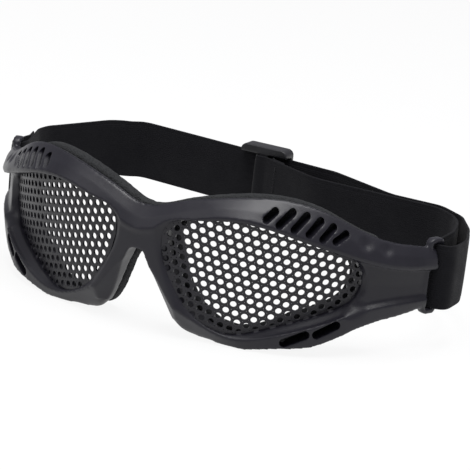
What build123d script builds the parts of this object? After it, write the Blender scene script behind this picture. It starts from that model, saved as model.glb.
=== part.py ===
from build123d import *
from math import atan2, cos, degrees, radians, sin, sqrt
import os

# Mesh safety goggles: a soft one-piece frame that wraps round the face, two perforated
# steel lenses held in grooves, a foam face pad and an elastic strap with one slider.
# X runs to the wearer's left, Y to the back of the head and Z up. The origin is under
# the middle of the whole object, at the height of the frame's lowest rim.

# Driving sizes of the frame
frame_height = 55.0
face_radius = 101.5
face_axis_y = 41.2
half_wrap = 62.5
brow_reach = 5.0
brow_bulge = 0.7
lip_edge = 1.5
panel_hollow = 0.35
rim_step = 1.2
overrun = 12.0

# Driving sizes of the lenses
lens_bulge = 1.4
lens_setback = 1.0
lens_axis_x = -3.35
lens_axis_z = 27.0
lens_tilt = 6.63
lens_thickness = 0.8
lens_start_turn = 2.0
lens_strip_turn = 2.5
lens_strips = 21
lens_seat = 1.8
groove_clearance = 0.06
hole_pitch = 3.5
hole_width = 2.05
pattern_angle = -8.1
left_pattern_start = (30.2, 13.5)
right_pattern_start = (33.1, 18.8)

# Driving sizes of the vents, the dimples and the temple loops
brow_vent_width = 2.3
end_vent_width = 2.2
cheek_vent_width = 2.9
vent_depth = 20.0
dimple_radius = 4.0
dimple_depth = 0.8
post_radius = 1.5
post_turn = 1.5
post_inset = 0.5
loop_arm_height = 1.9
loop_arm_width = 3.2
loop_corner = 2.8
loop_root_turn = 1.3
panel_end_turn = 1.1

# Driving sizes of the face pad
pad_thickness = 6.5
pad_end_turn = 12.0
pad_clearance = 0.3
pad_corner = 1.6
pad_step = 1.3
pad_inset = 1.2

# Driving sizes of the strap and the slider
strap_width = 24.0
strap_thickness = 1.3
strap_bottom = 16.6
strap_gap = 0.25
slider_length = 21.0
slider_x = -12.0
slider_rail = 3.2
slider_bar = 3.0
slider_middle_bar = 4.0
slider_plate = 1.8
slider_edge = 0.6
rear_y = 60.1
strap_bulge = 5.9
fixed_end_x = 47.0
run_end_gap = 2.5
seam_length = 6.5
stitch_width = 0.9
stitch_thickness = 0.3
stitch_inset = 1.5

# Stations of the frame's upright sections, in degrees from the middle of the face.
# Heights are shares of the frame's height, and reaches are shares of the brow's reach,
# counted out from the face radius.
station_angles = (0, 7, 14, 22, 30, 38, 46, 52, 57.5, half_wrap)
crest_height_shares = (0.825, 0.885, 0.947, 0.991, 1.0, 0.944, 0.831, 0.768, 0.74, 0.716)
crest_reach_shares = (-0.64, -0.64, -0.64, -0.54, -0.44, -0.24, -0.04, 0.07, 0.13, 0.16)
lip_height_shares = (0.655, 0.727, 0.815, 0.847, 0.798, 0.724, 0.647, 0.602, 0.582, 0.571)
lip_reach_shares = (0.5, 0.5, 0.62, 0.9, 1.0, 1.0, 1.0, 0.94, 0.84, 0.7)
panel_reach_shares = (0.34, 0.34, 0.34, 0.34, 0.34, 0.36, 0.36, 0.28, 0.23, 0.22)
ridge_height_shares = (0.24, 0.22, 0.165, 0.1, 0.17, 0.244, 0.32, 0.354, 0.367, 0.371)
ridge_reach_shares = (0.36, 0.36, 0.4, 0.48, 0.7, 0.82, 0.78, 0.67, 0.57, 0.5)
base_height_shares = (0.009, 0.006, -0.005, -0.012, 0.036, 0.078, 0.196, 0.25, 0.284, 0.316)
base_reach_shares = (-0.9, -1.1, -1.1, -0.18, 0.54, 0.7, 0.62, 0.46, 0.37, 0.34)
low_back_reach_shares = (-1.3, -1.6, -1.7, -1.2, -0.9, -0.9, -0.8, -0.52, -0.41, -0.38)
high_back_reach_shares = (-1.2, -1.2, -1.2, -1.1, -0.94, -0.86, -0.7, -0.5, -0.41, -0.38)

# The rim of the wearer's left opening where the lens shows: angle and height share
opening_shares = (
    (11.4, 0.233), (13.5, 0.169), (16.1, 0.118), (19.1, 0.087), (22.5, 0.089), (26.6, 0.127),
    (31.6, 0.184), (36.6, 0.242), (41.7, 0.305), (45.0, 0.378), (46.2, 0.462), (46.2, 0.545),
    (44.9, 0.62), (41.6, 0.678), (36.7, 0.73), (31.5, 0.781), (26.5, 0.824), (22.0, 0.84),
    (17.0, 0.829), (12.5, 0.806), (9.2, 0.784), (7.2, 0.745), (6.2, 0.68), (6.2, 0.6),
    (7.0, 0.496), (8.6, 0.385), (10.2, 0.295))
# How far the walls of the opening lean out towards the front, in degrees and height share
opening_lean_shares = (
    (-2.3, -0.012), (-2.0, -0.022), (-1.3, -0.03), (0, -0.035), (0, -0.035), (0.2, -0.03),
    (0.4, -0.028), (0.6, -0.028), (0.8, -0.02), (1.0, -0.012), (1.3, 0), (1.3, 0),
    (1.0, 0.003), (0.5, 0.006), (0, 0.006), (0, 0.006), (0, 0.006), (0, 0.006),
    (0, 0.006), (-0.6, 0.006), (-1.6, 0.004), (-2.4, 0.003), (-2.5, 0), (-2.5, 0),
    (-2.5, 0), (-2.5, 0), (-2.4, -0.005))
# The cutter of the opening looks along this angle; distances are shares of the face radius
opening_aim = 26.0
opening_back_share = 0.75
opening_front_share = 1.22
lens_rim_share = 0.995
front_rim_share = 1.022

# The strap's route seen from above: place across, place to the back and bend radius, as
# shares of the outermost line, the rear line and the strap's width
left_bend_share = 0.32
strap_route_shares = (
    (-1.0, 0.45, 0.5), (-0.84, 0.93, 0.6), (-0.72, 1.0, 0.5), (0.19, 1.0, 0.6),
    (0.5, 0.8, 1.0), (0.75, 0.728, 0.5), (0.865, 0.6, 0.5), (0.95, 0.37, 0.8),
    (1.0, 0.14, 0.6))
slack_turn_share = 0.21
inner_route_shares = ((0.917, 0.24, 0.8), (0.88, 0.47, 0.8), (0.83, 0.585, 0.5), (0.74, 0.69, 0.6))
run_route_shares = (0.19, 0.69, 1.0)
sewn_share = 0.9
turn_share = 0.99
bar_turn_share = 0.7

# The nose notch seen from the front: half width and height of its edge, how far back the
# edge lies, and where the flank that slopes to it starts, all as shares of the height
notch_shares = (
    (0.0, 0.544, -0.073, 0.0, 0.573), (0.049, 0.533, -0.065, 0.145, 0.564),
    (0.076, 0.487, -0.04, 0.273, 0.518), (0.096, 0.445, -0.016, 0.336, 0.473),
    (0.151, 0.311, 0.04, 0.427, 0.336), (0.215, 0.158, 0.087, 0.6, 0.182),
    (0.255, 0.089, 0.098, 0.69, 0.109), (0.293, 0.047, 0.104, 0.745, 0.045),
    (0.336, 0.015, 0.109, 0.8, -0.018), (0.373, -0.055, 0.109, 0.836, -0.091))
notch_front_share = 0.218
notch_back_share = 0.65

# Vents: angle and height share of the lower end, then of the upper end. Dimples: angle, and
# how far down from the crest towards the brow's bulge
brow_vent_shares = (
    (28.3, 0.867, 30.7, 0.942), (31.2, 0.847, 33.5, 0.925), (34.1, 0.825, 36.3, 0.9),
    (36.8, 0.798, 38.9, 0.867))
end_vent_shares = ((25.8, 0.893, 27.3, 0.94), (39.4, 0.787, 41.5, 0.827))
cheek_vent_shares = ((31.7, 0.091, 35.6, 0.153), (37.8, 0.162, 41.4, 0.227))
dimple_shares = ((45.7, 0.86), (50.2, 0.8))

# Values worked out from the sizes above
lens_radius = face_radius + lens_bulge
lens_axis_y = face_axis_y + lens_setback
post_x = (face_radius - post_inset) * sin(radians(half_wrap + post_turn))
post_y = face_axis_y - (face_radius - post_inset) * cos(radians(half_wrap + post_turn))
panel_end_angle = half_wrap - panel_end_turn
pad_end_angle = half_wrap - pad_end_turn
bulge_x = post_x + strap_bulge
strap_top = strap_bottom + strap_width
loop_bottom = strap_bottom - strap_gap - loop_arm_height
loop_top = strap_top + strap_gap + loop_arm_height
wrap_radius = post_radius + strap_gap + strap_thickness / 2
loop_front_y = post_y - wrap_radius
outer_turn_y = rear_y - strap_thickness - strap_gap
bar_face_y = outer_turn_y - strap_thickness / 2 - strap_gap
bar_back_y = bar_face_y - slider_plate
inner_turn_y = bar_back_y - strap_gap - strap_thickness / 2
bar_right_x = slider_x + slider_middle_bar / 2
bar_turn_x = slider_x - slider_middle_bar / 2 - strap_gap - strap_thickness / 2
slider_front_y = rear_y + strap_thickness / 2 + strap_gap
run_end_x = slider_x + slider_length / 2 + run_end_gap


def face_point(angle, radius, height):
    """A point at an angle from the middle of the face, round the upright face axis."""
    return Vector(radius * sin(radians(angle)), face_axis_y - radius * cos(radians(angle)), height)


def reach(share):
    """The radius of a share of the brow's reach, counted out from the face radius."""
    return face_radius + share * brow_reach


def mirrored(shape):
    """The same shape on the wearer's other side."""
    return mirror(shape, about=Plane.YZ)


def frame_section(k):
    """Radius and height of each corner of the frame's upright section at one station."""
    crest = (reach(crest_reach_shares[k]), crest_height_shares[k] * frame_height)
    lip = (reach(lip_reach_shares[k]), lip_height_shares[k] * frame_height)
    panel = reach(panel_reach_shares[k])
    ridge = (reach(ridge_reach_shares[k]), ridge_height_shares[k] * frame_height)
    base = (reach(base_reach_shares[k]), base_height_shares[k] * frame_height)
    middle = (lip[1] + ridge[1]) / 2
    return (
        crest,
        ((crest[0] + lip[0]) / 2 + brow_bulge, (crest[1] + lip[1]) / 2 + brow_bulge),
        (lip[0], lip[1] + lip_edge),
        (lip[0] - lip_edge / 3, lip[1]),
        (panel, lip[1] + lip_edge / 5),
        (panel - panel_hollow, middle),
        (panel, ridge[1] + lip_edge),
        ridge,
        base,
        (reach(low_back_reach_shares[k]), base[1] + rim_step),
        (reach(high_back_reach_shares[k]), crest[1] - rim_step))


def pad_section(k):
    """Radius and height of each corner of the face pad's upright section."""
    low_front = reach(low_back_reach_shares[k]) - pad_clearance
    high_front = reach(high_back_reach_shares[k]) - pad_clearance
    low = base_height_shares[k] * frame_height + pad_step + rim_step
    high = crest_height_shares[k] * frame_height - pad_step - rim_step
    return (
        (high_front, high),
        (low_front, low),
        (low_front - pad_thickness + pad_corner, low),
        (low_front - pad_thickness, low + pad_corner),
        (high_front - pad_thickness, high - pad_corner),
        (high_front - pad_thickness + pad_corner, high))


def lofted_round(section):
    """A solid through one section at each station, from one temple to the other."""
    wires = []
    last = len(station_angles) - 1
    for side, order in ((-1, range(last, 0, -1)), (1, range(0, last + 1))):
        for k in order:
            corners = [face_point(side * station_angles[k], r, z) for r, z in section(k)]
            wires.append(Wire.make_polygon(corners, close=True))
    return Solid.make_loft(wires)


def aimed_point(angle, height, distance):
    """Where the ray at an angle meets the upright plane at a distance along the aim."""
    return face_point(angle, distance / cos(radians(angle - opening_aim)), height)


def rim_point(k, lean, inset):
    """Angle and height of a point on the opening's rim, leaned out or drawn in."""
    count = len(opening_shares)
    middle_angle = sum(p[0] for p in opening_shares) / count
    middle_height = sum(p[1] for p in opening_shares) / count * frame_height
    angle = opening_shares[k][0] + lean * opening_lean_shares[k][0]
    height = (opening_shares[k][1] + lean * opening_lean_shares[k][1]) * frame_height
    across = radians(angle - middle_angle) * face_radius
    up = height - middle_height
    keep = 1 - inset / sqrt(across * across + up * up)
    return middle_angle + (angle - middle_angle) * keep, middle_height + up * keep


def rim_wire(place, lean, inset):
    """A closed smooth wire round the opening, with each point put in place by a function."""
    points = [place(*rim_point(k, lean, inset)) for k in range(len(opening_shares))]
    return Wire([Edge.make_spline(points, periodic=True)])


def opening_cutter():
    """The passage through the opening: straight behind the lens and leaning out before it."""
    back = opening_back_share * face_radius
    front = opening_front_share * face_radius
    return Solid.make_loft([
        rim_wire(lambda a, h: aimed_point(a, h, back), 0, 0),
        rim_wire(lambda a, h: face_point(a, lens_rim_share * face_radius, h), 0, 0),
        rim_wire(lambda a, h: face_point(a, front_rim_share * face_radius, h), 1, 0),
        rim_wire(lambda a, h: aimed_point(a, h, front), 1, 0)], ruled=True)


def straight_cutter(inset):
    """A passage with straight walls that follow the rim at a set distance."""
    back = opening_back_share * face_radius
    front = opening_front_share * face_radius
    return Solid.make_loft([
        rim_wire(lambda a, h: aimed_point(a, h, back), 0, inset),
        rim_wire(lambda a, h: aimed_point(a, h, front), 0, inset)], ruled=True)


def notch_wire(place):
    """A closed wire round the nose notch, from one foot up over the bridge to the other."""
    right = [place(*row) for row in notch_shares]
    left = [Vector(-p.X, p.Y, p.Z) for p in reversed(right[1:])]
    edge = Edge.make_spline(left + right)
    return Wire([edge, Edge.make_line(edge @ 1, edge @ 0)])


def notch_cutter():
    """The nose notch: flanks that slope in to the edge, then straight walls to the back."""
    face_front = face_axis_y - face_radius
    front = face_front - notch_front_share * frame_height
    back = face_front + notch_back_share * frame_height
    h = frame_height
    return Solid.make_loft([
        notch_wire(lambda x, z, y, fx, fz: Vector(fx * h, front, fz * h)),
        notch_wire(lambda x, z, y, fx, fz: Vector(x * h, face_front + y * h, z * h)),
        notch_wire(lambda x, z, y, fx, fz: Vector(x * h, back, z * h))], ruled=True)


def vent_cutter(low_angle, low_share, high_angle, high_share, width):
    """One long vent hole, cut towards the face axis."""
    middle = (low_angle + high_angle) / 2
    across = radians(high_angle - low_angle) * face_radius
    up = (high_share - low_share) * frame_height
    height = (low_share + high_share) / 2 * frame_height
    outer = reach(1) + brow_reach
    tangent = Vector(cos(radians(middle)), sin(radians(middle)), 0)
    along = tangent * across + Vector(0, 0, up)
    outward = Vector(sin(radians(middle)), -cos(radians(middle)), 0)
    plane = Plane(face_point(middle, outer, height), x_dir=along, z_dir=outward)
    ends = sqrt(across * across + up * up)
    return extrude(plane * SlotCenterToCenter(ends, width), amount=-vent_depth)


def vent_cutters():
    """All the vents of one side."""
    cutters = [vent_cutter(*row, brow_vent_width) for row in brow_vent_shares]
    cutters += [vent_cutter(*row, end_vent_width) for row in end_vent_shares]
    cutters += [vent_cutter(*row, cheek_vent_width) for row in cheek_vent_shares]
    return cutters


def brow_slope(angle):
    """The crest and the brow's bulge at an angle between two stations, as radius and height."""
    k = max(i for i, start in enumerate(station_angles[:-1]) if start <= angle)
    share = (angle - station_angles[k]) / (station_angles[k + 1] - station_angles[k])
    before = frame_section(k)
    after = frame_section(k + 1)
    return [Vector(*before[i]) + (Vector(*after[i]) - Vector(*before[i])) * share for i in (0, 1)]


def dimple_cutter(angle, share):
    """One shallow round dimple, sunk square to the brow."""
    crest, bulge = brow_slope(angle)
    slope = bulge - crest
    out = Vector(-slope.Y, slope.X).normalized()
    centre = crest + slope * share + out * (dimple_radius - dimple_depth)
    return Pos(*face_point(angle, centre.X, centre.Y)) * Sphere(dimple_radius)


def temple_loop():
    """The loop at one temple: two arched arms from the panel's end to the upright strap post."""
    root = face_point(half_wrap - loop_root_turn, face_radius, loop_bottom)
    end = face_point(panel_end_angle, face_radius, strap_bottom - strap_gap)
    post = Vector(post_x, post_y, loop_bottom)
    along = post - root
    height = loop_top - loop_bottom
    rise = Vector(0, 0, height / 2)
    above = Plane((root + post) / 2, x_dir=along, z_dir=(0, 0, 1))
    arms = extrude(above * SlotCenterToCenter(along.length, loop_arm_width), amount=height)
    strap_slot = Plane(end, x_dir=along, z_dir=(0, 0, 1)) * Box(
        along.length + loop_arm_width, 2 * loop_arm_width, strap_width + 2 * strap_gap,
        align=(Align.MIN, Align.CENTER, Align.MIN))
    side = Plane((root + post) / 2 + rise, x_dir=along, z_dir=along.cross(rise))
    arch = side * RectangleRounded(along.length + loop_arm_width, height, loop_corner)
    body = arms - strap_slot + Pos(*(post + rise)) * Cylinder(post_radius, height)
    return body & extrude(arch, amount=loop_arm_width, both=True)


def strap_turn_room():
    """The room in the frame's end for the strap where it turns round the post."""
    radius = wrap_radius + strap_thickness / 2 + strap_gap
    height = strap_width + 2 * strap_gap
    return Pos(post_x, post_y, strap_bottom + strap_width / 2) * Cylinder(radius, height)


def panel_end_cutter():
    """What is taken off under the brow beyond the end of the side panel."""
    low = loop_bottom - overrun
    high = lip_height_shares[-1] * frame_height - lip_edge / 5
    start = face_point(panel_end_angle, face_radius, (low + high) / 2)
    tangent = Vector(cos(radians(panel_end_angle)), sin(radians(panel_end_angle)), 0)
    plane = Plane(start, x_dir=tangent, z_dir=(0, 0, 1))
    return plane * Box(overrun, 2 * overrun, high - low, align=(Align.MIN, Align.CENTER,
                                                                Align.CENTER))


def lens_plane(arc, along, out):
    """A plane on the wearer's left lens, looking out, at a place along its arc and axis."""
    turn = arc / lens_radius
    tilt = radians(lens_tilt)
    side = Vector(cos(tilt), 0, -sin(tilt))
    axis = Vector(sin(tilt), 0, cos(tilt))
    outward = side * sin(turn) + Vector(0, -cos(turn), 0)
    centre = Vector(lens_axis_x, lens_axis_y, lens_axis_z)
    return Plane(centre + axis * along + outward * (lens_radius + out), x_dir=axis,
                 z_dir=outward)


def lens_frame():
    """The place of the tilted axis that the wearer's left lens is bent round."""
    return Pos(lens_axis_x, lens_axis_y, lens_axis_z) * Rot(0, lens_tilt, 0)


def bent_plate():
    """The uncut plate of the wearer's left lens, bent in narrow flat strips."""
    turns = [lens_start_turn + k * lens_strip_turn for k in range(lens_strips + 1)]
    radii = (lens_radius + lens_thickness / 2, lens_radius - lens_thickness / 2)
    outer = [Vector(0, -radii[0]).rotate(Axis.Z, turn) for turn in turns]
    inner = [Vector(0, -radii[1]).rotate(Axis.Z, turn) for turn in reversed(turns)]
    profile = make_face(Polyline(*outer, *inner, close=True))
    return lens_frame() * Pos(0, 0, -frame_height) * extrude(profile, amount=2 * frame_height)


def groove_tube():
    """A full length of the tilted tube that the grooves are cut with."""
    half = lens_thickness / 2 + groove_clearance
    height = 2 * frame_height
    outer = Cylinder(lens_radius + half, height)
    inner = Cylinder(lens_radius - half, height + overrun)
    return lens_frame() * (outer - inner)


def shows_through(arc, along):
    """Whether a hole of the pattern lies inside the opening's rim."""
    place = lens_plane(arc, along, 0).origin
    angle = degrees(atan2(place.X, face_axis_y - place.Y))
    share = place.Z / frame_height
    inside = False
    previous = opening_shares[-1]
    for point in opening_shares:
        if (point[1] > share) != (previous[1] > share):
            climb = (share - point[1]) / (previous[1] - point[1])
            if angle < point[0] + climb * (previous[0] - point[0]):
                inside = not inside
        previous = point
    return inside


def hole_cutters(start):
    """The staggered holes of one lens, on rows at sixty degrees."""
    turn = radians(pattern_angle)
    row_angle = turn + radians(60)
    count = int(2 * frame_height / hole_pitch)
    cutters = []
    for i in range(-count, count + 1):
        for j in range(-count, count + 1):
            arc = start[0] + hole_pitch * (i * cos(turn) + j * cos(row_angle))
            along = start[1] + hole_pitch * (i * sin(turn) + j * sin(row_angle))
            if abs(arc) < 2 * frame_height and abs(along) < frame_height / 2:
                if shows_through(arc, along):
                    plane = lens_plane(arc, along, lens_thickness)
                    square = plane * Rectangle(hole_width, hole_width)
                    cutters.append(extrude(square, amount=-2 * lens_thickness))
    return cutters


def mesh_lens(start):
    """The wearer's left lens: a curved steel plate full of holes."""
    plate = bent_plate() & straight_cutter(-lens_seat)
    return plate - hole_cutters(start)


def lens_groove():
    """The room that one lens takes in the frame."""
    return groove_tube() & straight_cutter(-lens_seat - groove_clearance)


def frame():
    """The soft moulded frame."""
    body = Part() + lofted_round(frame_section)
    body -= notch_cutter()
    side = [opening_cutter(), panel_end_cutter(), strap_turn_room()]
    side += vent_cutters() + [dimple_cutter(*row) for row in dimple_shares]
    body -= side
    body -= [mirrored(cutter) for cutter in side]
    body += [temple_loop(), mirrored(temple_loop())]
    body -= [lens_groove(), mirrored(lens_groove())]
    floor = Box(4 * face_radius, 4 * face_radius, overrun, align=(Align.CENTER, Align.CENTER,
                                                                  Align.MAX))
    return body - floor


def pad_end_cutter():
    """What is taken off beyond the end of the face pad at one temple."""
    radius = face_radius - pad_thickness / 2
    tangent = Vector(cos(radians(pad_end_angle)), sin(radians(pad_end_angle)), 0)
    plane = Plane(face_point(pad_end_angle, radius, frame_height / 2), x_dir=tangent,
                  z_dir=(0, 0, 1))
    length = face_radius / 2
    return plane * Box(length, length, 2 * frame_height, align=(Align.MIN, Align.CENTER,
                                                                Align.CENTER))


def face_pad():
    """The foam pad on the back of the frame, round both eyes and over the nose."""
    body = Part() + lofted_round(pad_section)
    body -= notch_cutter()
    side = [straight_cutter(pad_inset), pad_end_cutter()]
    return body - side - [mirrored(cutter) for cutter in side]


def strap_line(points, radii):
    """The strap's outline seen from above along one route with rounded bends."""
    return trace(FilletPolyline(*points, radius=radii), line_width=strap_thickness)


def ribbon(outline):
    """Strap material with the outline it has from above."""
    return Pos(0, 0, strap_bottom) * extrude(outline, amount=strap_width)


def left_loop_points():
    """The left loop's route, from the seam round the post to the strap's outermost line."""
    inner_x = -(post_x - wrap_radius)
    outer_x = -(post_x + wrap_radius)
    start = Vector(inner_x, post_y + wrap_radius)
    bend = Vector(-bulge_x, rear_y * left_bend_share)
    along = (bend - start).normalized()
    side = Vector(-along.Y, along.X) * strap_thickness * sewn_share
    meet = start + side + along * ((outer_x - start.X - side.X) / along.X)
    end = meet + along * seam_length
    return start, bend, meet, end


def on_line(start, end, x):
    """The point at a place across on the straight line between two points."""
    return start + (end - start) * ((x - start.X) / (end.X - start.X))


def route_point(x_share, y_share):
    """A point of the strap's route from its shares."""
    return Vector(x_share * bulge_x, y_share * rear_y)


def run_points():
    """The inner stretch: its last fixed bend, its two ends, its own bend and the bar's side."""
    fixed_bend = route_point(*inner_route_shares[-1][:2])
    bend = route_point(*run_route_shares[:2])
    bar_side = Vector(bar_right_x, inner_turn_y)
    return on_line(fixed_bend, bend, fixed_end_x), bend, on_line(bend, bar_side, run_end_x), bar_side


def strap():
    """The long strap: the sewn loop at one temple, round the head, and back through the other."""
    start, bend, meet, end = left_loop_points()
    near = post_x - wrap_radius
    far = post_x + wrap_radius
    turn = wrap_radius * turn_share
    route = [(-far, (post_y + meet.Y) / 2), (-far, loop_front_y), (-near, loop_front_y), start, bend]
    radii = [turn, turn, turn, strap_width / 2]
    for x, y, radius in strap_route_shares:
        route.append(route_point(x, y))
        radii.append(radius * strap_width)
    route += [(bulge_x, loop_front_y), (near, loop_front_y)]
    radii += [slack_turn_share * strap_width, turn]
    for x, y, radius in inner_route_shares:
        route.append(route_point(x, y))
        radii.append(radius * strap_width)
    route.append(run_points()[0])
    tail = [(-far, (post_y + meet.Y) / 2), meet, end]
    return ribbon(strap_line(route, radii) + strap_line(tail, turn))


def slack_run():
    """The slack inner stretch between the strap's fixed part and the slider's loop."""
    return ribbon(strap_line(run_points()[:3], run_route_shares[2] * strap_width))


def seam_points():
    """Where the tail of the slider's loop meets the strap and where its seam ends."""
    fixed_end, bend, run_end, bar_side = run_points()
    along = (run_end - bar_side).normalized()
    side = Vector(-along.Y, along.X) * strap_thickness * sewn_share
    meet = bar_side + side + along * slider_middle_bar
    return meet, meet + along * seam_length, along


def sewn_end():
    """The strap's end: round the slider's middle bar and sewn to itself outside."""
    meet, end, along = seam_points()
    run_end, bar_side = run_points()[2:]
    turn = (outer_turn_y - inner_turn_y) / 2 * bar_turn_share
    tail_bend_x = bar_right_x + strap_gap + strap_thickness / 2
    loop = [run_end, bar_side, (bar_turn_x, inner_turn_y), (bar_turn_x, outer_turn_y),
            (slider_x, outer_turn_y)]
    tail = [(slider_x, outer_turn_y), (tail_bend_x, outer_turn_y), meet, end]
    radii = [strap_thickness, turn, turn]
    return ribbon(strap_line(loop, radii) + strap_line(tail, strap_thickness))


def slider():
    """The strap slider: two end bars outside the strap and a middle bar inside it."""
    height = strap_width + 2 * (strap_gap + slider_rail)
    plate = Pos(slider_x, bar_back_y, strap_bottom - strap_gap - slider_rail) * Box(
        slider_length, slider_front_y + slider_plate - bar_back_y, height,
        align=(Align.CENTER, Align.MIN, Align.MIN))
    body = fillet(plate.edges().filter_by(Axis.Y), slider_rail - slider_edge)
    room = strap_width + 2 * strap_gap
    base = Pos(slider_x, 0, strap_bottom - strap_gap)
    low = (Align.CENTER, Align.MIN, Align.MIN)
    body -= base * Pos(0, bar_face_y, 0) * Box(
        slider_length + overrun, slider_front_y - bar_face_y, room, align=low)
    body -= base * Pos(0, bar_face_y, 0) * Box(
        slider_length - 2 * slider_bar, 2 * overrun, room, align=low)
    beside = (slider_length + slider_middle_bar) / 4 + overrun / 2
    width = (slider_length - slider_middle_bar) / 2 + overrun
    for side in (-1, 1):
        body -= base * Pos(side * beside, bar_face_y - overrun, 0) * Box(
            width, overrun, room, align=low)
    return body


def stitch_bar(x, y, along):
    """One upright row of stitches on the strap: where it starts and how the strap runs."""
    plane = Plane(Vector(x, y, strap_bottom + strap_width / 2), x_dir=Vector(*along, 0),
                  z_dir=Vector(along[1], -along[0], 0))
    flat = plane * SlotOverall(strap_width - 2 * stitch_inset, stitch_width, rotation=90)
    return extrude(flat, amount=stitch_thickness)


def left_stitches():
    """The bar tack that closes the loop round the right temple's post."""
    start, bend, meet, end = left_loop_points()
    along = (bend - start).normalized()
    outward = Vector(-along.Y, along.X)
    spot = end - along * (seam_length / 2) + outward * (strap_thickness / 2)
    return stitch_bar(spot.X, spot.Y, (-along.X, -along.Y))


def slider_stitches():
    """The bar tack that closes the loop round the slider's middle bar."""
    meet, end, along = seam_points()
    inward = Vector(along.Y, -along.X)
    spot = end - along * (seam_length / 2) + inward * strap_thickness * (sewn_share + 1 / 2)
    return stitch_bar(spot.X, spot.Y, (along.X, along.Y))


def build():
    """Writes every piece."""
    os.makedirs("parts", exist_ok=True)
    pieces = {
        "frame": frame(),
        "mesh_lens_left": mesh_lens(left_pattern_start),
        "mesh_lens_right": mirrored(mesh_lens(right_pattern_start)),
        "face_pad": face_pad(),
        "elastic_strap": strap(),
        "strap_adjusting_run": slack_run(),
        "strap_sewn_end": sewn_end(),
        "slider": slider(),
        "bar_tack_temple": left_stitches(),
        "bar_tack_slider": slider_stitches(),
    }
    for name, shape in pieces.items():
        export_step(shape, f"parts/{name}.step")


build()
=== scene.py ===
"""Looks of a pair of mesh safety goggles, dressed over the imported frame.

The moulded frame, the perforated lenses, the foam pad, the elastic strap, its slider and
the bar tacks are each a class, and PIECES lists what is made. Sizes are in metres, apart from
those of a tape's stops, and angles are in degrees. Places are in the row's frame: X to the
wearer's left, Y to the back of the head and Z up. An angle round the face is taken from its
middle, and the classes give it for one side and use it for both.
"""
from __future__ import annotations

import logging
import math
from dataclasses import dataclass
from enum import Enum
from typing import Callable, Iterable

import bmesh
import bpy
from mathutils import Matrix, Vector, noise
from mathutils.bvhtree import BVHTree


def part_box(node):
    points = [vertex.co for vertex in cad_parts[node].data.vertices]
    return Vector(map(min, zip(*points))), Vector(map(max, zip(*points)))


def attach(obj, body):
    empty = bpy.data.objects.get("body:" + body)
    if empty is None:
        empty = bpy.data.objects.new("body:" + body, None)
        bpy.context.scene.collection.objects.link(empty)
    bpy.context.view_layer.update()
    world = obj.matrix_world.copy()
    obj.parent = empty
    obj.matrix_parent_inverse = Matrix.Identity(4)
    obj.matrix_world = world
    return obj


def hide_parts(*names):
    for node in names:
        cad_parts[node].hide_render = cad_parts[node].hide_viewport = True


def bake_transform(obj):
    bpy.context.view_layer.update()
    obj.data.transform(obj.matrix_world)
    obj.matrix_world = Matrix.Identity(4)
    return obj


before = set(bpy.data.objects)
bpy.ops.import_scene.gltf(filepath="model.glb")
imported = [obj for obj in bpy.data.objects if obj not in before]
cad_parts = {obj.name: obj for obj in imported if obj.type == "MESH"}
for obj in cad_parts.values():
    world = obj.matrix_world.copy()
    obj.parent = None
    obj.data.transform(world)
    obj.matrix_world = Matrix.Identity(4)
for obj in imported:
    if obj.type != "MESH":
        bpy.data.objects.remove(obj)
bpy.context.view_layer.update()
LOG = logging.getLogger("mesh_goggles")
MM = 0.001
FRAME_HEIGHT = 55.0 * MM
FACE_RADIUS = 101.5 * MM
FACE_AXIS_Y = 41.2 * MM
WELD_GAP = 0.001 * MM
EASING = 0.5
SHORTEST = 1e-9
MIX_LOW = 6
MIX_HIGH = 7
MIX_RESULT = 2
PICK_SHIFT = 0.5
PICK_DEPTH = 0.35
RIB_ROUNDNESS = 0.6
Colour = tuple[float, float, float, float]


class Body(Enum):
    """The two bodies that pieces ride on."""

    GOGGLES = "goggles"
    SLIDER = "strap_slider"


class Slot(Enum):
    """The record's material slots."""

    RUBBER = "frame_rubber"
    MESH = "mesh_metal"
    FOAM = "pad_foam"
    ELASTIC = "strap_elastic"
    PLASTIC = "slider_plastic"
    THREAD = "thread"


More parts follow.
